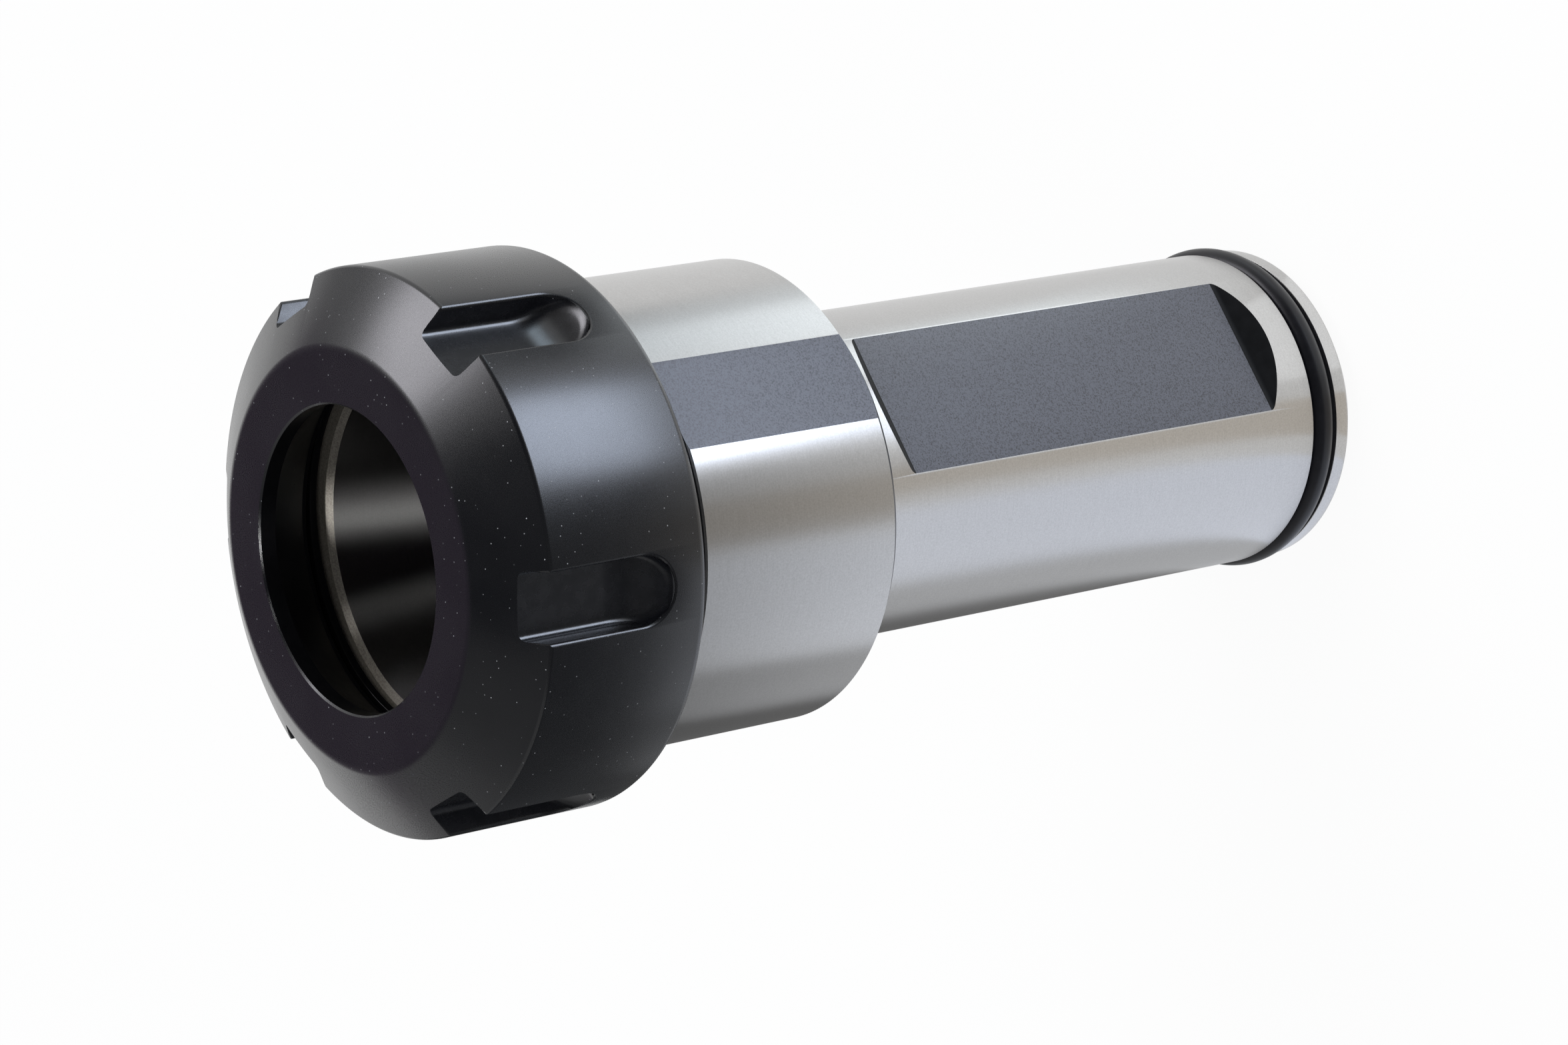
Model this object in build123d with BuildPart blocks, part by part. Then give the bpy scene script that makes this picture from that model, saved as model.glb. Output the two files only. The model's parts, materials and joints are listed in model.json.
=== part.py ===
from build123d import *
import os
from math import radians, sqrt, tan

os.makedirs("parts", exist_ok=True)

# Straight-shank collet chuck, standing on the rear end of its shank.
# Millimetres. Z runs up the axis, from the shank's rear face to the nut's face.
# The two flats of the body look towards -Y.

# Shank
shank_diameter = 38.1
shank_length = 78.9
shank_end_chamfer = 2.5
shank_root_fillet = 0.8

# Sealing groove near the rear end, and the ring in it
groove_rear = 4.4
groove_width = 3.8
ring_section = 3.0
ring_stand_out = 0.65
ring_seat_gap = 0.02

# Head behind the nut
head_diameter = 53.2
head_length = 27.3
head_rear_chamfer = 1.0
head_front_chamfer = 0.2

# Clamping thread between body and nut, drawn as plain cylinders at its pitch diameter
clamp_thread_diameter = 50.0
clamp_thread_pitch = 1.5
thread_running_gap = 0.05
thread_relief_width = 2.0
thread_relief_depth = 1.1
nose_chamfer = 1.0

# Collet taper in the body, and the bore behind it
taper_half_angle = 8.0
taper_mouth_diameter = 40.6
mouth_chamfer = 0.65
back_bore_diameter = 26.5
bore_step_half_angle = 60.0

# Tapped rear bore and the stop screw in it
stop_thread_diameter = 24.0
stop_thread_pitch = 1.5
stop_thread_length = 36.0
stop_bore_chamfer = 1.2
stop_screw_length = 12.0
stop_screw_place = 21.0
stop_screw_chamfer = 0.8
hex_across_flats = 12.0
hex_depth = 8.0
coolant_hole_diameter = 6.0
stop_seat_diameter = 11.0
stop_seat_half_angle = 60.0

# Flats on the head and on the shank
head_flat_depth = 0.56
shank_flat_depth = 2.19
shank_flat_length = 56.1
shank_flat_rear = 14.5
flat_end_slope = 45.0
flat_end_fillet = 1.0

# Nut, outside
nut_diameter = 63.0
nut_length = 25.2
nut_gap = 3.5
face_diameter = 46.4
bevel_angle = 30.0
face_fillet = 2.0
bevel_fillet = 0.8
nut_rear_fillet = 1.0

# Nut, inside, from its face towards its thread
opening_diameter = 34.0
opening_chamfer = 0.2
opening_land = 2.1
seat_half_angle = 30.0
seat_diameter = 40.6
seat_land = 0.5
extractor_groove_diameter = 45.6
extractor_groove_width = 1.3
extractor_lip_diameter = 42.4
extractor_lip_width = 1.0
extractor_lip_offset = 0.6
lip_clearance = 0.7
nut_relief_diameter = 51.0
nut_relief_width = 2.0
nut_mouth_chamfer = 1.1

# Spanner slots round the nut
slot_count = 6
slot_turn = -9.4
slot_width = 7.6
slot_length = 20.7
slot_floor_radius = 28.0
slot_runout_radius = 8.75
slot_corner_fillet = 0.9
slot_rim_chamfer = 0.25

# How far cutting shapes reach past what they cut
overcut = 2.0

# A 60 degree thread's pitch radius lies this share of the pitch inside its crest
pitch_depth_share = 0.3248

# Radii that follow from the sizes above
shank_radius = shank_diameter / 2
head_radius = head_diameter / 2
nut_radius = nut_diameter / 2
face_radius = face_diameter / 2
opening_radius = opening_diameter / 2
seat_radius = seat_diameter / 2
mouth_radius = taper_mouth_diameter / 2
back_bore_radius = back_bore_diameter / 2
groove_floor_radius = shank_radius + ring_stand_out - ring_section - ring_seat_gap
ring_centre_radius = shank_radius + ring_stand_out - ring_section / 2
nose_radius = clamp_thread_diameter / 2 - pitch_depth_share * clamp_thread_pitch
nut_thread_radius = nose_radius + thread_running_gap
thread_relief_radius = clamp_thread_diameter / 2 - thread_relief_depth
stop_bore_radius = stop_thread_diameter / 2 - pitch_depth_share * stop_thread_pitch
stop_screw_radius = stop_bore_radius - thread_running_gap

# Heights along the axis
head_front = shank_length + head_length
nut_rear = head_front + nut_gap
nut_face = nut_rear + nut_length
bevel_end = nut_face - (nut_radius - face_radius) * tan(radians(bevel_angle))
seat_top = nut_face - opening_land
seat_end = seat_top - (seat_radius - opening_radius) / tan(radians(seat_half_angle))
extractor_top = seat_end - seat_land
lip_top = extractor_top - extractor_groove_width
lip_rear = lip_top - extractor_lip_width
nut_relief_rear = lip_rear - nut_relief_width
nose_front = lip_rear - lip_clearance
taper_top = nose_front - mouth_chamfer
taper_rear = taper_top - (mouth_radius - back_bore_radius) / tan(radians(taper_half_angle))
bore_step_length = (back_bore_radius - stop_bore_radius) / tan(radians(bore_step_half_angle))
bore_step_top = stop_thread_length + bore_step_length
slot_end = nut_face - slot_length


# Body: the turned blank with its groove, threaded nose, collet taper and bore
with BuildPart() as holder_body:
    with BuildSketch(Plane.XZ) as body_section:
        with BuildLine():
            Polyline(
                (stop_bore_radius + stop_bore_chamfer, 0),
                (shank_radius - shank_end_chamfer, 0),
                (shank_radius, shank_end_chamfer),
                (shank_radius, groove_rear),
                (groove_floor_radius, groove_rear),
                (groove_floor_radius, groove_rear + groove_width),
                (shank_radius, groove_rear + groove_width),
                (shank_radius, shank_length),
                (head_radius - head_rear_chamfer, shank_length),
                (head_radius, shank_length + head_rear_chamfer),
                (head_radius, head_front - head_front_chamfer),
                (head_radius - head_front_chamfer, head_front),
                (thread_relief_radius, head_front),
                (thread_relief_radius, head_front + thread_relief_width),
                (nose_radius, head_front + thread_relief_width),
                (nose_radius, nose_front - nose_chamfer),
                (nose_radius - nose_chamfer, nose_front),
                (mouth_radius + mouth_chamfer, nose_front),
                (mouth_radius, taper_top),
                (back_bore_radius, taper_rear),
                (back_bore_radius, bore_step_top),
                (stop_bore_radius, stop_thread_length),
                (stop_bore_radius, stop_bore_chamfer),
                close=True,
            )
        make_face()
        shank_root = body_section.vertices().sort_by_distance((shank_radius, shank_length))[0]
        fillet(shank_root, shank_root_fillet)
    revolve(axis=Axis.Z)

    # The flat milled right across the head
    with BuildSketch(Plane.XZ.offset(head_radius - head_flat_depth)):
        with Locations((0, shank_length + head_length / 2)):
            Rectangle(head_diameter, head_length)
    extrude(amount=head_flat_depth, mode=Mode.SUBTRACT)

    # The flat on the shank that the holder's set screws press on, with ends that slope up
    shank_flat_place = shank_radius - shank_flat_depth
    slope_height = shank_flat_depth + overcut
    slope_reach = slope_height / tan(radians(flat_end_slope))
    with BuildSketch(Plane.YZ):
        with BuildLine():
            Polyline(
                (-shank_flat_place, shank_flat_rear),
                (-shank_flat_place, shank_flat_rear + shank_flat_length),
                (-shank_flat_place - slope_height, shank_flat_rear + shank_flat_length + slope_reach),
                (-shank_flat_place - slope_height, shank_flat_rear - slope_reach),
                close=True,
            )
        make_face()
    extrude(amount=shank_radius, both=True, mode=Mode.SUBTRACT)
    shank_flat = holder_body.faces().filter_by(Axis.Y).sort_by(Face.area)[-1]
    fillet(shank_flat.edges().filter_by(Axis.X), flat_end_fillet)
holder_body.part.label = "holder_body"
export_step(holder_body.part, "parts/holder_body.step")


# Sealing ring in its groove
with BuildPart() as shank_o_ring:
    with BuildSketch(Plane.XZ):
        with Locations((ring_centre_radius, groove_rear + groove_width / 2)):
            Circle(ring_section / 2)
    revolve(axis=Axis.Z)
shank_o_ring.part.label = "shank_o_ring"
export_step(shank_o_ring.part, "parts/shank_o_ring.step")


# Stop screw: hexagon socket towards the rear, coolant hole, cone for the tool's end
stop_screw_top = stop_screw_place + stop_screw_length
coolant_radius = coolant_hole_diameter / 2
stop_seat_radius = stop_seat_diameter / 2
stop_seat_depth = (stop_seat_radius - coolant_radius) / tan(radians(stop_seat_half_angle))
with BuildPart() as stop_screw:
    with BuildSketch(Plane.XZ):
        with BuildLine():
            Polyline(
                (coolant_radius, stop_screw_place),
                (stop_screw_radius - stop_screw_chamfer, stop_screw_place),
                (stop_screw_radius, stop_screw_place + stop_screw_chamfer),
                (stop_screw_radius, stop_screw_top - stop_screw_chamfer),
                (stop_screw_radius - stop_screw_chamfer, stop_screw_top),
                (stop_seat_radius, stop_screw_top),
                (coolant_radius, stop_screw_top - stop_seat_depth),
                close=True,
            )
        make_face()
    revolve(axis=Axis.Z)
    with BuildSketch(Plane.XY.offset(stop_screw_place)):
        RegularPolygon(radius=hex_across_flats / 2, side_count=6, major_radius=False)
    extrude(amount=hex_depth, mode=Mode.SUBTRACT)
stop_screw.part.label = "stop_screw"
export_step(stop_screw.part, "parts/stop_screw.step")


# The space one spanner slot takes out of the nut, on the +X side:
# a flat floor that runs out in an arc, inside a track with a round end
slot_depth = nut_radius - slot_floor_radius
floor_end = slot_end + sqrt(slot_runout_radius**2 - (slot_runout_radius - slot_depth) ** 2)
with BuildPart() as slot_space:
    with BuildSketch(Plane.XZ):
        with BuildLine():
            run_out = TangentArc(
                (slot_floor_radius, floor_end), (nut_radius, slot_end), tangent=(0, -1)
            )
            Polyline(
                run_out @ 1,
                (nut_radius + overcut, slot_end),
                (nut_radius + overcut, nut_face + overcut),
                (slot_floor_radius, nut_face + overcut),
                run_out @ 0,
            )
        make_face()
    extrude(amount=slot_width / 2, both=True)
    with BuildSketch(Plane.YZ.offset(slot_floor_radius - overcut)):
        with Locations((0, slot_end + slot_width / 2)):
            Circle(slot_width / 2)
            Rectangle(slot_width, slot_length + overcut, align=(Align.CENTER, Align.MIN))
    extrude(amount=slot_depth + 2 * overcut, mode=Mode.INTERSECT)
    floor_sides = slot_space.edges().filter_by(Axis.Z).group_by(Axis.X)[0]
    fillet(floor_sides, slot_corner_fillet)


# Nut: turned blank, eccentric extractor lip, then the spanner slots
with BuildPart() as clamp_nut:
    with BuildSketch(Plane.XZ) as nut_section:
        with BuildLine():
            Polyline(
                (opening_radius + opening_chamfer, nut_face),
                (face_radius, nut_face),
                (nut_radius, bevel_end),
                (nut_radius, nut_rear),
                (nut_thread_radius + nut_mouth_chamfer, nut_rear),
                (nut_thread_radius, nut_rear + nut_mouth_chamfer),
                (nut_thread_radius, nut_relief_rear),
                (nut_relief_diameter / 2, nut_relief_rear),
                (nut_relief_diameter / 2, lip_rear),
                (seat_radius, lip_rear),
                (seat_radius, lip_top),
                (extractor_groove_diameter / 2, lip_top),
                (extractor_groove_diameter / 2, extractor_top),
                (seat_radius, extractor_top),
                (seat_radius, seat_end),
                (opening_radius, seat_top),
                (opening_radius, nut_face - opening_chamfer),
                close=True,
            )
        make_face()
        fillet(nut_section.vertices().sort_by_distance((face_radius, nut_face))[0], face_fillet)
        fillet(nut_section.vertices().sort_by_distance((nut_radius, bevel_end))[0], bevel_fillet)
        fillet(nut_section.vertices().sort_by_distance((nut_radius, nut_rear))[0], nut_rear_fillet)
    revolve(axis=Axis.Z)
    with BuildSketch(Plane.XY.offset(lip_rear)):
        with Locations((extractor_lip_offset, 0)):
            Circle(extractor_lip_diameter / 2)
    extrude(amount=extractor_lip_width, mode=Mode.SUBTRACT)
    with PolarLocations(0, slot_count, start_angle=slot_turn):
        add(slot_space.part, mode=Mode.SUBTRACT)
    on_outside = clamp_nut.faces().filter_by(GeomType.CYLINDER).sort_by(Face.area)[-1]
    slot_rims = [edge for edge in on_outside.edges() if edge.geom_type != GeomType.CIRCLE]
    chamfer(slot_rims, slot_rim_chamfer)
clamp_nut.part.label = "clamp_nut"
export_step(clamp_nut.part, "parts/clamp_nut.step")
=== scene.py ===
import json
from math import atan2, cos, pi, radians, sin, sqrt, tan

import bmesh
import bpy
from mathutils import Matrix, Vector

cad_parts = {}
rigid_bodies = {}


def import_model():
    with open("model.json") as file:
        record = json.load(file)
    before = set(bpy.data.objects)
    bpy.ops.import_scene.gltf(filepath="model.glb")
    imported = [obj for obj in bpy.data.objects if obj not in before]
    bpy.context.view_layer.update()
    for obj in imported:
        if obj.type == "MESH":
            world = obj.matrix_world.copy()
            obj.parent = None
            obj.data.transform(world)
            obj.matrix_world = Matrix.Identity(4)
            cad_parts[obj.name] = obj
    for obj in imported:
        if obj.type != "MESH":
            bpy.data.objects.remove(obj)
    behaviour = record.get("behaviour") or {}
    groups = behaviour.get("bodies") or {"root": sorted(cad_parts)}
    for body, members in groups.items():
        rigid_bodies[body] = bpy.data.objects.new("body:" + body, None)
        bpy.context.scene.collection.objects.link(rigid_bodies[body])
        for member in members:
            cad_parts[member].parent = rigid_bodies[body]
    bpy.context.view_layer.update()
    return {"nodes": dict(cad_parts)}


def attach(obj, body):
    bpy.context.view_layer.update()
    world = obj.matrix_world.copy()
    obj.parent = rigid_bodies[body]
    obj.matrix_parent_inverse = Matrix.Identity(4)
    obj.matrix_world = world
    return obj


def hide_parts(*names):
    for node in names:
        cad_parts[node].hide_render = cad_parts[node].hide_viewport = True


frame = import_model()
print("frame loaded:", sorted(frame["nodes"]))

scene = bpy.context.scene
scene.view_settings.view_transform = "Standard"
mm = 0.001
# vertices closer than this, in millimetres, are merged
mergeReach = 1e-5


# turned shapes

def sectionWire(points, cornerSteps=3):
    # points hold radius, height and, where the corner is rounded, its radius and perhaps its segments
    wire = bmesh.new()
    corners = [wire.verts.new((p[0], 0, p[1])) for p in points]
    for here, after in zip(corners, corners[1:] + corners[:1]):
        wire.edges.new((here, after))
    befores, afters = points[-1:] + points[:-1], points[1:] + points[:1]
    for before, here, after, corner in zip(befores, points, afters, corners):
        if len(here) < 3:
            continue
        turn = (Vector(here[:2]) - Vector(before[:2])).angle(Vector(after[:2]) - Vector(here[:2]))
        bmesh.ops.bevel(
            wire, geom=[corner], offset=here[2] * tan(turn / 2), offset_type="OFFSET",
            segments=here[3] if len(here) > 3 else cornerSteps, profile=0.5, affect="VERTICES", material=-1)
    return wire


def turned(points, steps):
    return spunClosed(sectionWire(points), steps)


def spunClosed(shape, steps):
    bmesh.ops.spin(
        shape, geom=shape.verts[:] + shape.edges[:], cent=(0, 0, 0), axis=(0, 0, 1),
        angle=2 * pi, steps=steps, use_merge=True)
    bmesh.ops.remove_doubles(shape, verts=shape.verts[:], dist=mergeReach)
    bmesh.ops.recalc_face_normals(shape, faces=shape.faces[:])
    return shape


def nearAxis(co):
    # how near a point is to the axis
    return sqrt(co.x ** 2 + co.y ** 2)


def ringHeights(start, end, pitch, perPitch):
    # evenly spaced rings that a thread is cut from
    count = round((end - start) / pitch * perPitch)
    return [start + (end - start) * i / count for i in range(count + 1)]


# half of the crest's width and the width of a flank, as shares of the pitch
threadForm = dict(halfCrest=0.15, flank=0.2)


def cutThread(shape, blank, start, end, depth, pitch):
    # a right-hand 60 degree thread: rings on the blank's radius sink by depth in its valleys
    slack = 1e-4
    for v in shape.verts:
        radius = nearAxis(v.co)
        if abs(radius - blank) > abs(depth) / 2 or not start - slack <= v.co.z <= end + slack:
            continue
        along = (v.co.z / pitch - atan2(v.co.y, v.co.x) / (2 * pi)) % 1
        sunk = min(1, max(0, (abs(along - 0.5) - threadForm["halfCrest"]) / threadForm["flank"]))
        scale = (blank - depth * sunk) / radius
        v.co.x *= scale
        v.co.y *= scale


def asObject(shape, name, materials, sharpAngle=28, seam=None):
    # edges are sharp over an angle, and where the two finishes of the seam meet
    for edge in shape.edges:
        onSeam = {face.material_index for face in edge.link_faces} == seam
        edge.smooth = edge.calc_face_angle(0) < radians(sharpAngle) and not onSeam
    bmesh.ops.scale(shape, vec=(mm, mm, mm), verts=shape.verts[:])
    mesh = bpy.data.meshes.new(name)
    shape.to_mesh(mesh)
    shape.free()
    for material in materials:
        mesh.materials.append(material)
    for polygon in mesh.polygons:
        polygon.use_smooth = True
    made = bpy.data.objects.new(name, mesh)
    scene.collection.objects.link(made)
    return made


# stand-ins for the materials, so that a cut face keeps its cutter's material number
fillers = [bpy.data.materials.new("filler") for slotNumber in range(8)]


def cutBy(shape, cutters):
    # takes the cutters' shapes out of a shape, all still in millimetres
    solids = []
    for solidShape in (shape, *cutters):
        mesh = bpy.data.meshes.new("blank")
        for filler in fillers:
            mesh.materials.append(filler)
        solidShape.to_mesh(mesh)
        solidShape.free()
        solid = bpy.data.objects.new("blank", mesh)
        scene.collection.objects.link(solid)
        solids.append(solid)
    blank = solids[0]
    for cutter in solids[1:]:
        cut = blank.modifiers.new("cut", "BOOLEAN")
        cut.operation = "DIFFERENCE"
        cut.solver = "EXACT"
        cut.material_mode = "INDEX"
        cut.object = cutter
    bpy.context.view_layer.update()
    result = bmesh.new()
    result.from_mesh(blank.evaluated_get(bpy.context.evaluated_depsgraph_get()).to_mesh())
    for solid in solids:
        mesh = solid.data
        bpy.data.objects.remove(solid)
        bpy.data.meshes.remove(mesh)
    return result


# shader nodes

class Wire:
    # a socket's value in a material, on which + - * / work as in Python
    def __init__(self, tree, socket=None):
        self.tree = tree
        self.socket = socket

    def node(self, kind, settings=None, inputs=None, out=0):
        made = self.tree.nodes.new(kind)
        for name, value in (settings or {}).items():
            setattr(made, name, value)
        for name, value in (inputs or {}).items():
            if isinstance(value, Wire):
                self.tree.links.new(value.socket, made.inputs[name])
            else:
                made.inputs[name].default_value = value
        return Wire(self.tree, made.outputs[out] if made.outputs else None)

    def sibling(self, name):
        # another output of the same node
        return Wire(self.tree, self.socket.node.outputs[name])

    def maths(self, operation, *values):
        return self.node("ShaderNodeMath", {"operation": operation}, dict(enumerate(values)))

    def __add__(self, other):
        return self.maths("ADD", self, other)

    def __radd__(self, other):
        return self.maths("ADD", other, self)

    def __sub__(self, other):
        return self.maths("SUBTRACT", self, other)

    def __rsub__(self, other):
        return self.maths("SUBTRACT", other, self)

    def __mul__(self, other):
        return self.maths("MULTIPLY", self, other)

    def __rmul__(self, other):
        return self.maths("MULTIPLY", other, self)

    def __truediv__(self, other):
        return self.maths("DIVIDE", self, other)

    def __rtruediv__(self, other):
        return self.maths("DIVIDE", other, self)

    def ramp(self, low, high):
        # 0 below low, 1 above high
        return self.node(
            "ShaderNodeMapRange", {"clamp": True}, {"Value": self, "From Min": low, "From Max": high})

    def blend(self, first, second):
        # a colour between first and second: 0, 6, 7 and out 2 are the Mix node's factor and colour sockets
        first, second = (colour if isinstance(colour, Wire) else (*colour, 1) for colour in (first, second))
        return self.node("ShaderNodeMix", {"data_type": "RGBA"}, {0: self, 6: first, 7: second}, out=2)

    def stretched(self, scale):
        return self.node("ShaderNodeMapping", None, {"Vector": self, "Scale": scale})

    def bump(self, strength, depth):
        # a normal from heights, with a depth in millimetres
        return self.node(
            "ShaderNodeBump", None, {"Strength": strength, "Distance": depth * mm, "Height": self})

    def noise(self, scale, detail=2, roughness=0.5):
        return self.node(
            "ShaderNodeTexNoise", None,
            {"Vector": self, "Scale": scale, "Detail": detail, "Roughness": roughness})


def newMaterial(name):
    material = bpy.data.materials.new(name)
    material.use_nodes = True
    tree = material.node_tree
    tree.nodes.clear()
    return material, Wire(tree)


def surface(wire, inputs):
    shader = wire.node("ShaderNodeBsdfPrincipled", None, inputs)
    wire.node("ShaderNodeOutputMaterial", None, {"Surface": shader})


def place(wire):
    return wire.node("ShaderNodeTexCoord", out="Object")


groundLook = dict(
    colour=(0.555, 0.55, 0.542), shade=(0.42, 0.415, 0.407), metallic=1.0,
    roughness=0.30, roughnessSwing=0.08, anisotropy=0.72, anisotropyTurn=0.25,
    streakLength=420, streakPitch=9000, broadShare=0.2, streakBump=0.35, streakDepth=0.004,
    streakRange=(0.25, 0.75), streakShare=0.4, faceShare=1.3, pepperScale=5200, pepperRange=(0.3, 0.7))


def groundSteel(name, look):
    # ground or turned: short streaks round the axis, finer than a tenth of a millimetre, and a fine pepper
    material, wire = newMaterial(name)
    where = place(wire)
    x = wire.node("ShaderNodeSeparateXYZ", None, {"Vector": where})
    y, z = x.sibling("Y"), x.sibling("Z")
    squares = x * x + y * y
    across = squares.maths("SQRT", squares) * look["faceShare"] + z
    track = wire.node("ShaderNodeCombineXYZ", None, {"X": x, "Y": y, "Z": across})
    length, pitch = look["streakLength"], look["streakPitch"]
    fine = track.stretched((length, length, pitch)).noise(1.0, 2)
    broad = track.stretched((length / 2, length / 2, pitch / 4)).noise(1.0, 2)
    grain = fine * (1 - look["broadShare"]) + broad * look["broadShare"]
    pepper = where.noise(look["pepperScale"], 2, 0.6).ramp(*look["pepperRange"])
    tone = grain.ramp(*look["streakRange"]) * look["streakShare"] + pepper * (1 - look["streakShare"])
    surface(wire, {
        "Base Color": tone.blend(look["shade"], look["colour"]),
        "Metallic": look["metallic"],
        "Roughness": look["roughness"] + (grain - 0.5) * look["roughnessSwing"],
        "Anisotropic": look["anisotropy"], "Anisotropic Rotation": look["anisotropyTurn"],
        "Normal": grain.bump(look["streakBump"], look["streakDepth"])})
    return material


def specks(where, spacing, size, share, softEdge=0.6):
    # scattered specks: one in each of some cells of a coarse pattern, from faint to 1
    distance = where.node(
        "ShaderNodeTexVoronoi", None, {"Vector": where, "Scale": 1 / spacing, "Randomness": 1.0})
    chance = distance.node("ShaderNodeSeparateColor", None, {"Color": distance.sibling("Color")})
    near = 1 - distance.ramp(size * softEdge / spacing, size / spacing)
    return near * chance.ramp(1 - share, 1)


oxideLook = dict(
    colour=(0.0042, 0.0045, 0.0060), tint=(0.0064, 0.0066, 0.0082), roughness=0.27, ior=1.56,
    cloudScale=90, cloudRange=(0.35, 0.65), cloudSwing=0.08,
    grainScale=8000, grainSwing=0.14, grainBump=0.2, grainDepth=0.01,
    dust=(0.36, 0.37, 0.39), dustSpacing=0.0009, dustSize=0.00008, dustShare=0.8, dustSwing=0.3)


def blackOxide(name, look):
    # a satin black with a fine grain, faint clouds and dust
    material, wire = newMaterial(name)
    where = place(wire)
    cloud = where.noise(look["cloudScale"], 3, 0.55)
    grain = where.noise(look["grainScale"], 2, 0.6)
    dust = specks(where, look["dustSpacing"], look["dustSize"], look["dustShare"])
    clean = cloud.ramp(*look["cloudRange"]).blend(look["colour"], look["tint"])
    unevenness = (cloud - 0.5) * look["cloudSwing"] + (grain - 0.5) * look["grainSwing"]
    surface(wire, {
        "Base Color": dust.blend(clean, look["dust"]),
        "Roughness": look["roughness"] + unevenness + dust * look["dustSwing"],
        "IOR": look["ior"],
        "Normal": grain.bump(look["grainBump"], look["grainDepth"])})
    return material


flatLook = dict(
    colour=(0.100, 0.108, 0.137), dark=(0.022, 0.023, 0.029), roughness=0.42, roughnessSwing=0.2, ior=1.5,
    mottleScale=5200, mottleBump=0.25, mottleDepth=0.01, pitRange=(0.34, 0.54), pitShare=0.9)


def milledFlat(name, look):
    # milled, then blackened: a fine mottle with dark pits
    material, wire = newMaterial(name)
    mottle = place(wire).noise(look["mottleScale"], 3, 0.7)
    pits = 1 - mottle.ramp(*look["pitRange"])
    surface(wire, {
        "Base Color": (pits * look["pitShare"]).blend(look["colour"], look["dark"]),
        "Roughness": look["roughness"] + (mottle - 0.5) * look["roughnessSwing"],
        "IOR": look["ior"],
        "Normal": mottle.bump(look["mottleBump"], look["mottleDepth"])})
    return material


plainLook = dict(
    cloudScale=700, cloudRange=(0.3, 0.7), shadeShare=0.7, roughnessSwing=0.12,
    grainScale=5000, grainBump=0.15, grainDepth=0.01)


def plainDark(name, colour, roughness, ior):
    # blackened turned faces, rubber and screw: a faint unevenness only
    material, wire = newMaterial(name)
    where = place(wire)
    cloud = where.noise(plainLook["cloudScale"], 3, 0.6)
    grain = where.noise(plainLook["grainScale"], 1)
    shade = tuple(part * plainLook["shadeShare"] for part in colour)
    surface(wire, {
        "Base Color": cloud.ramp(*plainLook["cloudRange"]).blend(shade, colour),
        "Roughness": roughness + (cloud - 0.5) * plainLook["roughnessSwing"],
        "IOR": ior,
        "Normal": grain.bump(plainLook["grainBump"], plainLook["grainDepth"])})
    return material


# painted shade: the taper in the bore gets about half the ground steel's colour, so that the bore looks dark
taperPaintedShadeLook = dict(
    groundLook, colour=(0.26, 0.255, 0.25), shade=(0.22, 0.215, 0.21), roughness=0.34, anisotropy=0.95)
# painted shade: the nose face and mouth ring inside the nut's opening get a darker, browner and less
# metallic steel than the outside
mouthPaintedShadeLook = dict(
    groundLook, colour=(0.22, 0.20, 0.17), shade=(0.07, 0.062, 0.05), metallic=0.35,
    roughness=0.5, anisotropy=0.2)
materials = dict(
    ground=groundSteel("groundSteel", groundLook),
    dark=plainDark("darkTurnedSteel", (0.026, 0.026, 0.030), 0.42, 1.6),
    flat=milledFlat("milledFlat", flatLook),
    taper=groundSteel("taperSteelPaintedShade", taperPaintedShadeLook),
    nut=blackOxide("blackOxide", oxideLook),
    # painted shade: the sloped ends of the flats are near-black, far darker than the flats' own blackened
    # finish
    flatEnd=plainDark("flatEnd", (0.006, 0.0066, 0.008), 0.45, 1.25),
    slotWall=plainDark("slotWall", (0.008, 0.0085, 0.011), 0.27, 1.6),
    rubber=plainDark("blackRubber", (0.007, 0.007, 0.010), 0.36, 1.38),
    screw=plainDark("blackenedScrew", (0.03, 0.03, 0.032), 0.4, 1.6),
    mouth=groundSteel("mouthSteelPaintedShade", mouthPaintedShadeLook),
    # painted shade: the inside of the nut gets a darker and less glossy black than its outside
    nutInsidePaintedShade=plainDark("nutInsidePaintedShade", (0.003, 0.003, 0.0036), 0.3, 1.3),
)
print("materials made:", len(materials))


# body

# lengths in millimetres, and angles in degrees, as in all the pieces below
body = dict(
    steps=240,
    shankRadius=19.05, shankLength=78.9, endChamfer=2.5, endBreak=0.3,
    rootFillet=0.8, rootSteps=5, rootFinish=0.5,
    grooveRear=4.4, grooveFront=8.2, grooveFloor=16.68, grooveFillet=0.3, edgeBreak=0.12,
    headRadius=26.6, headFront=106.2, rearChamfer=1.0, frontChamfer=0.2, headFlat=-26.04, headWall=4.0,
    reliefRadius=23.9, reliefFront=108.2, reliefFillet=0.4, threadStart=0.3,
    threadRadius=24.98, threadDepth=0.92, threadPitch=1.5, ringsPerPitch=8,
    noseChamfer=1.0, noseFront=123.584, noseWall=0.5,
    mouthRadius=20.3, mouthChamfer=0.65, taperRear=72.77, boreRadius=13.25, boreStepTop=37.0,
    stopBoreRadius=11.52, stopThreadDepth=-0.45, stopThreadLength=36.0, stopBoreChamfer=1.2,
    shankFlat=-16.86, shankFlatRear=14.5, shankFlatFront=70.6,
    flatEndSlope=45, flatEndFillet=1.0, flatEndFilletSteps=6, flatEndFinish=3.0, overcut=2.0)


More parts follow.
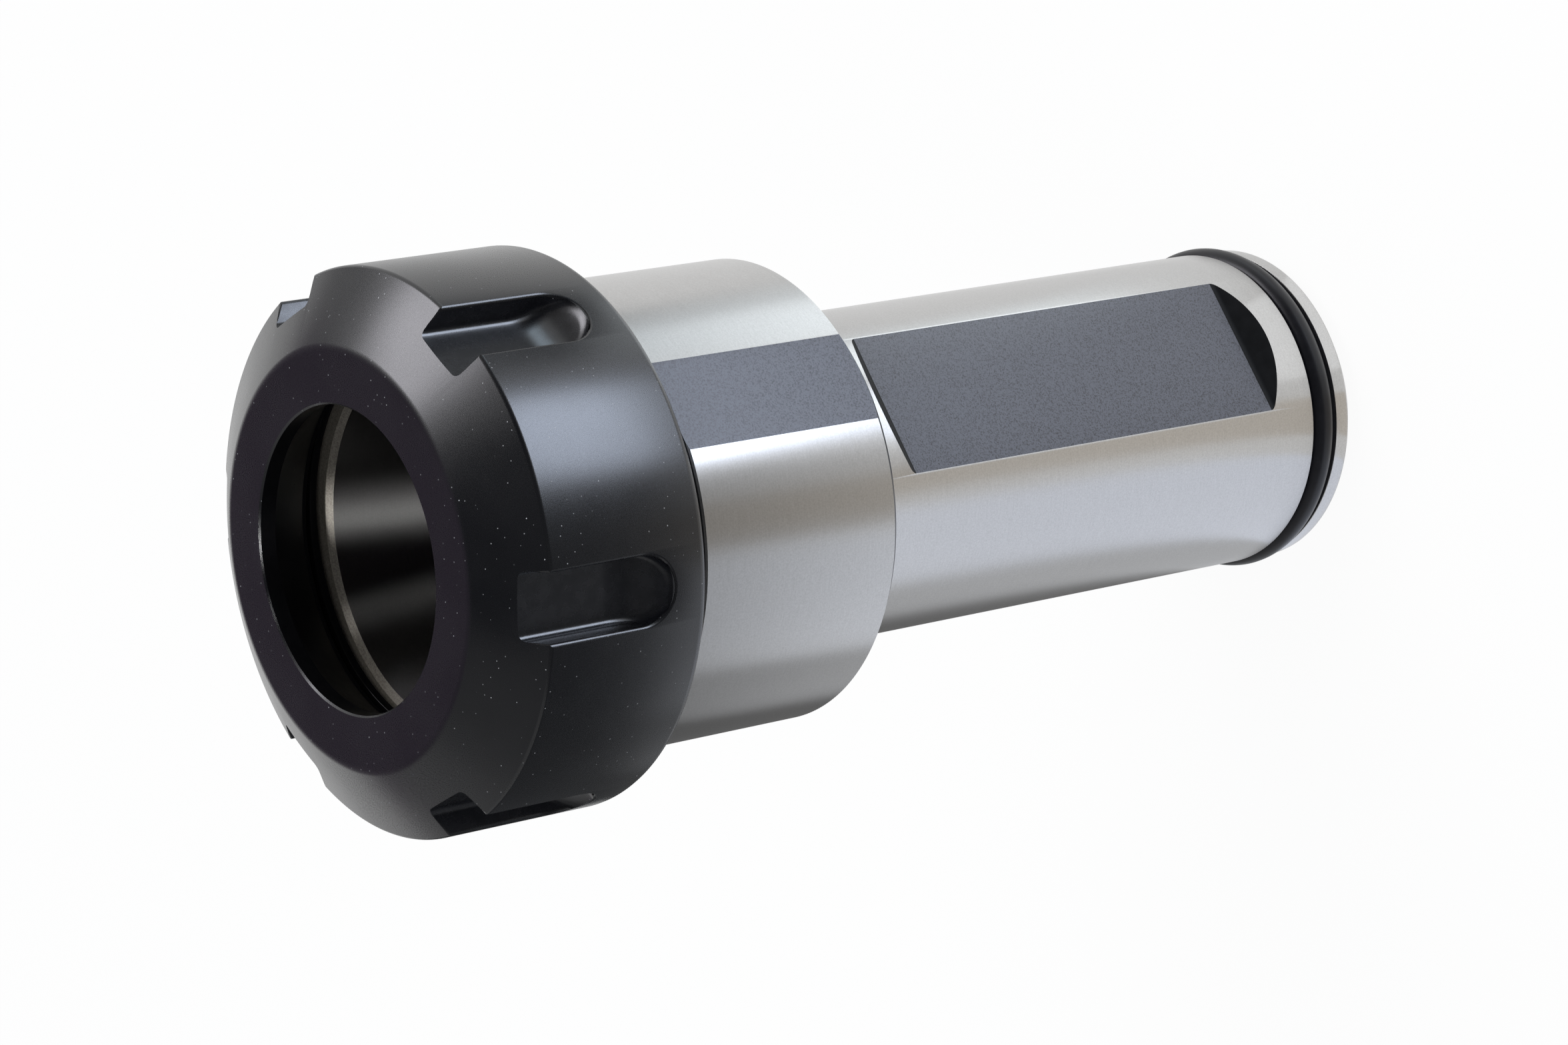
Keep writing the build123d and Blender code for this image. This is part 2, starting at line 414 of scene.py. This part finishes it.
def bodyShape(b):
    threadFront = b["noseFront"] - b["noseChamfer"]
    pitch, perPitch = b["threadPitch"], b["ringsPerPitch"]
    noseRings = ringHeights(b["reliefFront"], threadFront, pitch, perPitch)
    boreRings = ringHeights(b["stopThreadLength"], b["stopBoreChamfer"], -pitch, perPitch)
    shape = turned([
        (b["stopBoreRadius"] + b["stopBoreChamfer"], 0),
        (b["shankRadius"] - b["endChamfer"], 0, b["endBreak"]),
        (b["shankRadius"], b["endChamfer"], b["endBreak"]),
        (b["shankRadius"], b["grooveRear"], b["edgeBreak"]),
        (b["grooveFloor"], b["grooveRear"], b["grooveFillet"]),
        (b["grooveFloor"], b["grooveFront"], b["grooveFillet"]),
        (b["shankRadius"], b["grooveFront"], b["edgeBreak"]),
        (b["shankRadius"], b["shankLength"], b["rootFillet"], b["rootSteps"]),
        (b["headRadius"] - b["rearChamfer"], b["shankLength"]),
        (b["headRadius"], b["shankLength"] + b["rearChamfer"]),
        (b["headRadius"], b["headFront"] - b["frontChamfer"]),
        (b["headRadius"] - b["frontChamfer"], b["headFront"]),
        (b["reliefRadius"], b["headFront"], b["reliefFillet"]),
        (b["reliefRadius"], b["reliefFront"] - b["threadStart"]),
        *[(b["threadRadius"], z) for z in noseRings],
        (b["threadRadius"] - b["noseChamfer"], b["noseFront"]),
        (b["mouthRadius"] + b["mouthChamfer"], b["noseFront"]),
        (b["mouthRadius"], b["noseFront"] - b["mouthChamfer"]),
        (b["boreRadius"], b["taperRear"]),
        (b["boreRadius"], b["boreStepTop"]),
        *[(b["stopBoreRadius"], z) for z in boreRings],
    ], b["steps"])
    cutThread(shape, b["threadRadius"], b["reliefFront"], threadFront, b["threadDepth"], pitch)
    cutThread(
        shape, b["stopBoreRadius"], b["stopBoreChamfer"], b["stopThreadLength"], b["stopThreadDepth"], pitch)
    for face in shape.faces:
        centre = face.calc_center_median()
        face.material_index = bodyFinish(nearAxis(centre), centre.z, b)
    return shape


# the body's materials, in the order that its faces number them
bodyMaterials = ("ground", "dark", "flat", "taper", "flatEnd", "mouth")
bodyNumbers = {name: number for number, name in enumerate(bodyMaterials)}


def bodyFinish(radius, height, b):
    # the number of a face's material, from the place of its middle
    slack = 0.1
    onShank = radius > b["shankRadius"] - slack and height < b["shankLength"] - b["rootFinish"]
    onHead = radius > b["headRadius"] - b["frontChamfer"] and height > b["shankLength"] + b["rearChamfer"]
    onRearChamfer = height < b["endChamfer"] and radius > b["shankRadius"] - b["endChamfer"] + slack
    onNoseFront = height > b["noseFront"] - b["mouthChamfer"] + slack / 2
    onMouth = onNoseFront and radius < b["reliefRadius"] - b["noseWall"]
    onTaper = radius < b["mouthRadius"] + b["mouthChamfer"] + slack and height > b["taperRear"] - 1
    if onShank or onHead or onRearChamfer:
        return bodyNumbers["ground"]
    # the nose face inside the nut's opening and the taper in the bore take darker steels than the outside:
    # painted shade
    if onMouth:
        return bodyNumbers["mouth"]
    return bodyNumbers["taper" if onTaper else "dark"]


def cutHeadFlat(shape, b):
    # only the head's own faces are cut, as the plane passes beside everything else
    slack = 0.01
    head = []
    for face in shape.faces:
        centre = face.calc_center_median()
        inHead = b["shankLength"] - slack < centre.z < b["headFront"] + slack
        if inHead and nearAxis(centre) > b["reliefRadius"] - b["headWall"]:
            head += [face, *face.edges, *face.verts]
    cut = bmesh.ops.bisect_plane(
        shape, geom=list(dict.fromkeys(head)), dist=1e-6, clear_outer=True,
        plane_co=(0, b["headFlat"], 0), plane_no=(0, -1, 0))
    rim = [part for part in cut["geom_cut"] if isinstance(part, bmesh.types.BMEdge)]
    for face in bmesh.ops.contextual_create(shape, geom=rim)["faces"]:
        face.material_index = bodyNumbers["flat"]


def flatCutter(b):
    # the space over the shank's flat, whose ends slope up
    over = b["shankRadius"] + b["overcut"] + b["shankFlat"]
    reach = over / tan(radians(b["flatEndSlope"]))
    slack = 1e-4
    block = bmesh.new()
    bmesh.ops.create_cube(block, size=1)
    for v in block.verts:
        v.co.x *= 2 * b["shankRadius"]
        atFlat = v.co.y > 0
        v.co.y = b["shankFlat"] - (0 if atFlat else over)
        outward = 0 if atFlat else reach
        v.co.z = b["shankFlatFront"] + outward if v.co.z > 0 else b["shankFlatRear"] - outward
    ends = [e for e in block.edges if all(abs(v.co.y - b["shankFlat"]) < slack for v in e.verts)
            and abs(e.verts[0].co.z - e.verts[1].co.z) < slack]
    setback = b["flatEndFillet"] * tan(radians(b["flatEndSlope"] / 2))
    bmesh.ops.bevel(
        block, geom=ends, offset=setback, offset_type="OFFSET", segments=b["flatEndFilletSteps"],
        profile=0.5, affect="EDGES", material=-1)
    bmesh.ops.recalc_face_normals(block, faces=block.faces[:])
    # the sloped ends take the near-black flat-end material, which is painted shade
    for face in block.faces:
        level = face.normal.y > cos(radians(b["flatEndFinish"]))
        face.material_index = bodyNumbers["flat" if level else "flatEnd"]
    return block


shape = bodyShape(body)
cutHeadFlat(shape, body)
shape = cutBy(shape, [flatCutter(body)])
print("body: open edges", sum(e.is_boundary for e in shape.edges), "faces", len(shape.faces))
holderBody = asObject(shape, "holderBody", [materials[name] for name in bodyMaterials])
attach(holderBody, "holder")
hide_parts("holder_body")


# sealing ring

ring = dict(centre=18.2, height=6.3, radius=1.5, around=32, steps=240)


def ringShape(r):
    shape = bmesh.new()
    bmesh.ops.create_circle(
        shape, segments=r["around"], radius=r["radius"],
        matrix=Matrix.Translation((r["centre"], 0, r["height"])) @ Matrix.Rotation(pi / 2, 4, "X"))
    return spunClosed(shape, r["steps"])


sealRing = asObject(ringShape(ring), "sealRing", [materials["rubber"]])
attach(sealRing, "holder")
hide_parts("shank_o_ring")
print("sealing ring made")


# stop screw

stop = dict(
    steps=120, rear=21.0, front=33.0, radius=11.46, chamfer=0.8, edgeBreak=0.15,
    threadDepth=0.5, threadPitch=1.5, ringsPerPitch=8, coolantRadius=3.0, seatRadius=5.5, seatDepth=1.443,
    hexAcross=12.0, hexDepth=8.0, hexChamfer=0.25, hexRimReach=1.2, overcut=1.0)


def stopShape(s):
    threadRear, threadFront = s["rear"] + s["chamfer"], s["front"] - s["chamfer"]
    rings = ringHeights(threadRear, threadFront, s["threadPitch"], s["ringsPerPitch"])
    shape = turned([
        (s["coolantRadius"], s["rear"]),
        (s["radius"] - s["chamfer"], s["rear"], s["edgeBreak"]),
        *[(s["radius"], z) for z in rings],
        (s["radius"] - s["chamfer"], s["front"], s["edgeBreak"]),
        (s["seatRadius"], s["front"], s["edgeBreak"]),
        (s["coolantRadius"], s["front"] - s["seatDepth"]),
    ], s["steps"])
    cutThread(shape, s["radius"], rings[0], rings[-1], s["threadDepth"], s["threadPitch"])
    key = bmesh.new()
    depth = s["hexDepth"] + s["overcut"]
    corner = s["hexAcross"] / 2 / cos(pi / 6)
    bmesh.ops.create_cone(
        key, cap_ends=True, segments=6, radius1=corner, radius2=corner, depth=depth,
        matrix=Matrix.Translation((0, 0, s["rear"] + s["hexDepth"] - depth / 2)))
    shape = cutBy(shape, [key])
    rim = [e for e in shape.edges if onHexRim(e, s)]
    bmesh.ops.bevel(
        shape, geom=rim, offset=s["hexChamfer"], offset_type="OFFSET", segments=1, profile=0.5,
        affect="EDGES", material=-1)
    return shape


def onHexRim(edge, s):
    # a sharp edge in the rear face, near the hexagon
    level = all(abs(v.co.z - s["rear"]) < 1e-3 for v in edge.verts)
    middle = (edge.verts[0].co + edge.verts[1].co) / 2
    near = nearAxis(middle) < s["hexAcross"] / 2 + s["hexRimReach"]
    return level and near and len(edge.link_faces) == 2 and edge.calc_face_angle(0) > 1


stopScrew = asObject(stopShape(stop), "stopScrew", [materials["screw"]])
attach(stopScrew, "stop")
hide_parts("stop_screw")
print("stop screw made:", len(stopScrew.data.polygons), "faces")


# clamping nut

nut = dict(
    steps=240, radius=31.5, rear=109.7, face=134.9, faceRadius=23.2, bevelEnd=130.108, faceFillet=2.0,
    bevelFillet=0.6, rearFillet=1.0, filletSteps=6, mouthChamfer=1.1, mouthBreak=0.1,
    threadRadius=25.06, threadDepth=-0.42, threadPitch=1.5, ringsPerPitch=8,
    reliefRadius=25.5, reliefRear=122.28, reliefStart=0.25, reliefFillet=0.3,
    lipRear=124.28, lipTop=125.28, lipInner=20.3, lipRadius=21.2, lipOffset=0.6, edgeBreak=0.12,
    grooveRadius=22.8, grooveTop=126.58, grooveFillet=0.2, seatRadius=20.3, seatEnd=127.084, seatTop=132.8,
    openingRadius=17.0, openingChamfer=0.2,
    slotCount=6, slotTurn=-9.4, slotHalfWidth=3.8, slotEnd=114.2, slotFloor=28.0, runoutRadius=8.75,
    floorFillet=0.8, rimBreak=0.5, rimClearance=0.05, overcut=2.0, floorRings=5, floorSteps=8, endSteps=24)
# the nut's materials, in the order that its faces number them; the slots' rims have the outside's
nutMaterials = ("nut", "slotWall", "nutInsidePaintedShade", "nut")
nutOutside, nutSlot, nutBore, nutRim = range(4)


def outsideRadius(n, height):
    # the nut's radius at a height, on its side or its bevel
    return n["radius"] - max(0, height - n["bevelEnd"]) * bevelSlope(n)


def bevelSlope(n):
    return (n["radius"] - n["faceRadius"]) / (n["face"] - n["bevelEnd"])


def slotCutter(n, turn):
    # the space that one slot takes: half of its section is spun into the round end, the whole runs forward
    half, low = n["slotHalfWidth"], n["slotFloor"]
    outer, top = n["radius"] + n["overcut"], n["face"] + n["overcut"]
    centre = n["slotEnd"] + half
    fillet, rim = n["floorFillet"], n["rimBreak"]
    flat = [(low, (half - fillet) * i / n["floorRings"]) for i in range(n["floorRings"])]
    quarter = [radians(90 * i / n["filletSteps"]) for i in range(n["filletSteps"] + 1)]
    rise = [(low + fillet * (1 - cos(q)), half - fillet * (1 - sin(q))) for q in quarter]
    flare = [(n["radius"] - rim * (1 - sin(q)), half + rim * (1 - cos(q))) for q in quarter[:-1]]
    section = flat + rise + flare + [(outer, half + rim), (outer, 0)]
    track = bmesh.new()
    row = [track.verts.new((x, y, centre)) for x, y in section]
    for here, after in zip(row, row[1:]):
        track.edges.new((here, after))
    bmesh.ops.spin(track, geom=track.verts[:] + track.edges[:], cent=(0, 0, centre), axis=(1, 0, 0),
                   angle=-pi, steps=n["endSteps"])
    bmesh.ops.remove_doubles(track, verts=track.verts[:], dist=1e-4)
    across = bmesh.ops.contextual_create(track, geom=[e for e in track.edges if e.is_boundary])["faces"]
    raised = bmesh.ops.extrude_face_region(track, geom=across)["geom"]
    ends = [v for v in raised if isinstance(v, bmesh.types.BMVert)]
    bmesh.ops.translate(track, vec=(0, 0, top - centre), verts=ends)
    bmesh.ops.delete(track, geom=across, context="FACES_ONLY")
    # the floor rises towards the round end, and the rim's flare follows the outside down the bevel
    runout, depth = n["runoutRadius"], n["radius"] - low
    floorEnd = n["slotEnd"] + sqrt(runout ** 2 - (runout - depth) ** 2)
    levels = [centre + (floorEnd - centre) * i / n["floorSteps"] for i in range(1, n["floorSteps"] + 1)]
    flareEnd = low + fillet + rim + n["rimClearance"]
    flareTop = n["bevelEnd"] + (n["radius"] - flareEnd) / bevelSlope(n)
    for level in (*levels, n["bevelEnd"], flareTop):
        bmesh.ops.bisect_plane(
            track, geom=track.verts[:] + track.edges[:] + track.faces[:], dist=1e-6,
            plane_co=(0, 0, level), plane_no=(0, 0, 1))
    slack = 1e-3
    for v in track.verts:
        if v.co.x > outer - slack:
            continue
        if v.co.x > n["radius"] - rim - slack:
            outside = sqrt(outsideRadius(n, v.co.z) ** 2 - v.co.y ** 2)
            v.co.x += max(outside, flareEnd) - n["radius"]
        else:
            v.co.x += runout - sqrt(runout ** 2 - max(0, floorEnd - v.co.z) ** 2)
    bmesh.ops.recalc_face_normals(track, faces=track.faces[:])
    for face in track.faces:
        middle = face.calc_center_median()
        onRim = abs(nearAxis(middle) - outsideRadius(n, middle.z)) < rim
        face.material_index = nutRim if onRim else nutSlot
    rotation = Matrix.Rotation(radians(turn), 3, "Z")
    bmesh.ops.rotate(track, cent=(0, 0, 0), matrix=rotation, verts=track.verts[:])
    return track


def nutShape(n):
    threadStart = n["rear"] + n["mouthChamfer"]
    rings = ringHeights(n["reliefRear"], threadStart, -n["threadPitch"], n["ringsPerPitch"])
    shape = turned([
        (n["openingRadius"] + n["openingChamfer"], n["face"]),
        (n["faceRadius"], n["face"], n["faceFillet"], n["filletSteps"]),
        (n["radius"], n["bevelEnd"], n["bevelFillet"], n["filletSteps"]),
        (n["radius"], n["rear"], n["rearFillet"], n["filletSteps"]),
        (n["threadRadius"] + n["mouthChamfer"], n["rear"], n["mouthBreak"]),
        *[(n["threadRadius"], z) for z in reversed(rings)],
        (n["reliefRadius"], n["reliefRear"] + n["reliefStart"]),
        (n["reliefRadius"], n["lipRear"], n["reliefFillet"]),
        (n["lipInner"], n["lipRear"], n["edgeBreak"]),
        (n["lipInner"], n["lipTop"], n["edgeBreak"]),
        (n["grooveRadius"], n["lipTop"], n["grooveFillet"]),
        (n["grooveRadius"], n["grooveTop"], n["grooveFillet"]),
        (n["seatRadius"], n["grooveTop"], n["edgeBreak"]),
        (n["seatRadius"], n["seatEnd"]),
        (n["openingRadius"], n["seatTop"]),
        (n["openingRadius"], n["face"] - n["openingChamfer"]),
    ], n["steps"])
    cutThread(shape, n["threadRadius"], threadStart, n["reliefRear"], n["threadDepth"], n["threadPitch"])
    slack = 0.1
    # the bore and thread take the darker, duller black of the inside: painted shade inside the nut
    for face in shape.faces:
        centre = face.calc_center_median()
        radius = nearAxis(centre)
        inBore = radius < n["grooveRadius"] + slack and centre.z < n["face"] - n["openingChamfer"]
        inThread = radius < n["reliefRadius"] + slack and n["rear"] + slack < centre.z < n["grooveTop"]
        if inBore or inThread:
            face.material_index = nutBore
    # the extractor lip is a ring off the axis
    slack = 0.01
    grow = n["lipRadius"] / n["lipInner"]
    for v in shape.verts:
        level = n["lipRear"] - slack < v.co.z < n["lipTop"] + slack
        if level and nearAxis(v.co) < n["lipInner"] + n["edgeBreak"] + slack:
            v.co.x = v.co.x * grow + n["lipOffset"]
            v.co.y *= grow
    cutters = [slotCutter(n, n["slotTurn"] + i * 360 / n["slotCount"]) for i in range(n["slotCount"])]
    return cutBy(shape, cutters)


shape = nutShape(nut)
print("nut: open edges", sum(len(e.link_faces) != 2 for e in shape.edges), "faces", len(shape.faces))
clampNut = asObject(
    shape, "clampNut", [materials[name] for name in nutMaterials], seam={nutOutside, nutRim})
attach(clampNut, "nut")
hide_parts("clamp_nut")
for filler in fillers:
    bpy.data.materials.remove(filler)


# floor, light and camera

# floorSize in metres
stageLook = dict(
    floorSize=8.0, floorColour=0.85, ownLight=0.93, ambient=(0.95, 0.97, 1.0), ambientStrength=0.72)


def backdropMaterial(s):
    # white to the camera and in reflections, and pale to the lamps, so that the shadow stays
    material, wire = newMaterial("paleFloor")
    pale = wire.node("ShaderNodeBsdfDiffuse", None, {"Color": (s["floorColour"],) * 3 + (1,)})
    white = wire.node("ShaderNodeEmission", None, {"Color": (1, 1, 1, 1), "Strength": 1.0})
    mixed = wire.node("ShaderNodeMixShader", None, {0: seenRays(wire) * s["ownLight"], 1: pale, 2: white})
    wire.node("ShaderNodeOutputMaterial", None, {"Surface": mixed})
    return material


def seenRays(wire):
    # 1 for what the camera sees, in the open, in a reflection or through glass
    path = wire.node("ShaderNodeLightPath")
    kinds = path.sibling("Is Camera Ray") + path.sibling("Is Glossy Ray")
    kinds = kinds + path.sibling("Is Transmission Ray")
    return kinds.maths("MINIMUM", kinds, 1.0)


def studioWorld(s):
    world = bpy.data.worlds.new("studio")
    scene.world = world
    world.use_nodes = True
    world.node_tree.nodes.clear()
    wire = Wire(world.node_tree)
    ambient = wire.node(
        "ShaderNodeBackground", None, {"Color": (*s["ambient"], 1), "Strength": s["ambientStrength"]})
    white = wire.node("ShaderNodeBackground", None, {"Color": (1, 1, 1, 1), "Strength": 1.0})
    mixed = wire.node("ShaderNodeMixShader", None, {0: seenRays(wire), 1: ambient, 2: white})
    wire.node("ShaderNodeOutputWorld", None, {"Surface": mixed})


floorShape = bmesh.new()
bmesh.ops.create_grid(floorShape, x_segments=1, y_segments=1, size=stageLook["floorSize"] / 2 / mm)
floorPlane = asObject(floorShape, "floor", [backdropMaterial(stageLook)])
studioWorld(stageLook)

# cards that only the metal mirrors: pale and dark ones on the table round the holder, and others above it
# each has the azimuths that it spans, its radii in millimetres, its brightness and its tint
cardHeight = 0.5
cardSteps = dict(around=24, up=12)
tableCards = [
    dict(span=(-97, -65), radii=(162, 340), light=9.4, tint=(0.85, 0.95, 1.15)),
    dict(span=(-52, -14), radii=(160, 330), light=0.25, tint=(0.98, 1.0, 1.02)),
    dict(span=(95, 258), radii=(160, 2500), light=0.09, tint=(0.97, 1.0, 1.05)),
    dict(span=(-106, -60), radii=(20, 112), light=1.3, tint=(0.99, 1.0, 1.01)),
    dict(span=(-98, -60), radii=(112, 162), light=0.9, tint=(0.99, 1.0, 1.01)),
    dict(span=(-48, -26), radii=(400, 1600), light=4.0, tint=(0.8, 0.97, 1.12)),
    dict(span=(-52, -24), radii=(45, 160), light=2.2, tint=(0.94, 1.0, 1.04)),
    dict(span=(-24, -12), radii=(45, 160), light=1.3, tint=(0.95, 1.0, 1.03)),
    dict(span=(-134, -116), radii=(20, 112), light=0.75, tint=(1.07, 1.0, 0.91)),
    dict(span=(-138, -116), radii=(112, 162), light=0.7, tint=(1.08, 1.0, 0.9)),
    dict(span=(160, 216), radii=(20, 112), light=1.15, tint=(0.93, 0.98, 1.1)),
    dict(span=(160, 222), radii=(112, 153), light=1.65, tint=(0.95, 0.99, 1.07)),
    dict(span=(124, 160), radii=(20, 160), light=0.7, tint=(0.98, 1.0, 1.04)),
    dict(span=(80, 124), radii=(20, 160), light=0.17, tint=(1.0, 1.0, 1.0)),
]
# parts of a dome: the azimuths and elevations that each spans, its brightness and its tint
domeRadius = 1100
skyCards = [
    dict(name="topSoftbox", span=(-17, 18), rise=(33, 58), light=7.6, tint=(1.0, 0.985, 1.05)),
    dict(name="slotShade", span=(-44, -19), rise=(12, 60), light=0.25, tint=(1.0, 0.95, 0.9)),
    dict(name="dimSide", span=(20, 34), rise=(4, 32), light=0.45, tint=(1.0, 1.0, 1.0)),
    dict(name="faceFlag", span=(34, 100), rise=(12, 66), light=0.14, tint=(1.12, 0.84, 1.2)),
    dict(name="farFlag", span=(100, 186), rise=(38, 66), light=0.25, tint=(1.0, 1.0, 1.0)),
    dict(name="lowFlag", span=(100, 236), rise=(1, 38), light=0.45, tint=(1.0, 1.0, 1.0)),
    dict(name="nearFlag", span=(-174, -45), rise=(-6, 66), light=0.03, tint=(1.0, 1.0, 1.0)),
    dict(name="zenithFlag", span=(-180, 180), rise=(66, 90), light=0.03, tint=(1.0, 1.0, 1.0)),
]


def cardMaterial(name, light, tint):
    material, wire = newMaterial(name)
    glow = wire.node("ShaderNodeEmission", None, {"Color": (*tint, 1), "Strength": light})
    wire.node("ShaderNodeOutputMaterial", None, {"Surface": glow})
    return material


def reflectedOnly(card):
    card.visible_camera = False
    card.visible_diffuse = False
    card.visible_shadow = False
    card.visible_transmission = False


def towards(azimuth, elevation):
    a, e = radians(azimuth), radians(elevation)
    return Vector((cos(a) * cos(e), sin(a) * cos(e), sin(e)))


def addCard(name, points, card):
    # a line of points, spun over the azimuths that the card spans
    shape = bmesh.new()
    line = [shape.verts.new(point) for point in points]
    edges = [shape.edges.new(pair) for pair in zip(line, line[1:])]
    first, last = card["span"]
    bmesh.ops.spin(shape, geom=[*line, *edges], cent=(0, 0, 0), axis=(0, 0, 1), angle=radians(last - first),
                   steps=cardSteps["around"])
    reflectedOnly(asObject(shape, name, [cardMaterial(name, card["light"], card["tint"])]))


for number, card in enumerate(tableCards):
    outward = towards(card["span"][0], 0)
    ends = [outward * radius + Vector((0, 0, cardHeight)) for radius in card["radii"]]
    addCard("tableCard" + str(number), ends, card)

target = Vector((0, 0, 0.10))
for card in skyCards:
    low, high = card["rise"]
    elevations = [low + (high - low) * i / cardSteps["up"] for i in range(cardSteps["up"] + 1)]
    arc = [target / mm + towards(card["span"][0], elevation) * domeRadius for elevation in elevations]
    addCard(card["name"], arc, card)

# lamps give metres and watts
lamps = dict(
    key=dict(azimuth=-30, elevation=50, distance=0.9, size=(0.6, 0.6), power=3.9, colour=(1, 1, 1)),
    fill=dict(azimuth=-150, elevation=30, distance=1.0, size=(0.7, 0.7), power=2.2, colour=(0.96, 0.98, 1)),
)
# narrow beams into the opening, for the bright bands along the taper
beam = dict(elevation=66, distance=0.12, colour=(1, 1, 1), spread=3)
beams = dict(
    wide=dict(beam, azimuth=-146, size=(0.005, 0.02), power=0.00032, target=(0.0118, 0.0143, 0.107)),
    slim=dict(beam, azimuth=-80, size=(0.002, 0.02), power=0.00006, target=(0.0016, 0.0183, 0.107)),
)


def addLamp(name, lamp):
    data = bpy.data.lights.new(name + "Lamp", "AREA")
    data.shape = "RECTANGLE"
    data.size, data.size_y = lamp["size"]
    data.energy = lamp["power"]
    data.color = lamp["colour"]
    data.spread = radians(lamp.get("spread", 180))
    away = towards(lamp["azimuth"], lamp["elevation"])
    light = bpy.data.objects.new(name + "Lamp", data)
    scene.collection.objects.link(light)
    light.location = Vector(lamp.get("target", target)) + away * lamp["distance"]
    light.rotation_euler = away.to_track_quat("Z", "Y").to_euler()
    light.visible_camera = False
    return light


for name, lamp in lamps.items():
    addLamp(name, lamp).visible_glossy = False
for name, lamp in beams.items():
    addLamp(name, lamp)

cameraLook = dict(
    lens=115.546, sensor=36, clipStart=0.01, place=(-0.18169, -0.42278, 0.42615),
    right=(-0.39538, -0.48106, -0.78246), up=(0.86570, -0.47987, -0.14242),
    back=(-0.30697, -0.73369, 0.60619))
cameraData = bpy.data.cameras.new("camera")
cameraData.lens = cameraLook["lens"]
cameraData.sensor_width = cameraLook["sensor"]
cameraData.clip_start = cameraLook["clipStart"]
camera = bpy.data.objects.new("camera", cameraData)
scene.collection.objects.link(camera)
axes = Matrix((cameraLook["right"], cameraLook["up"], cameraLook["back"])).transposed()
camera.matrix_world = Matrix.Translation(cameraLook["place"]) @ axes.to_4x4()
scene.camera = camera
print("stage set")
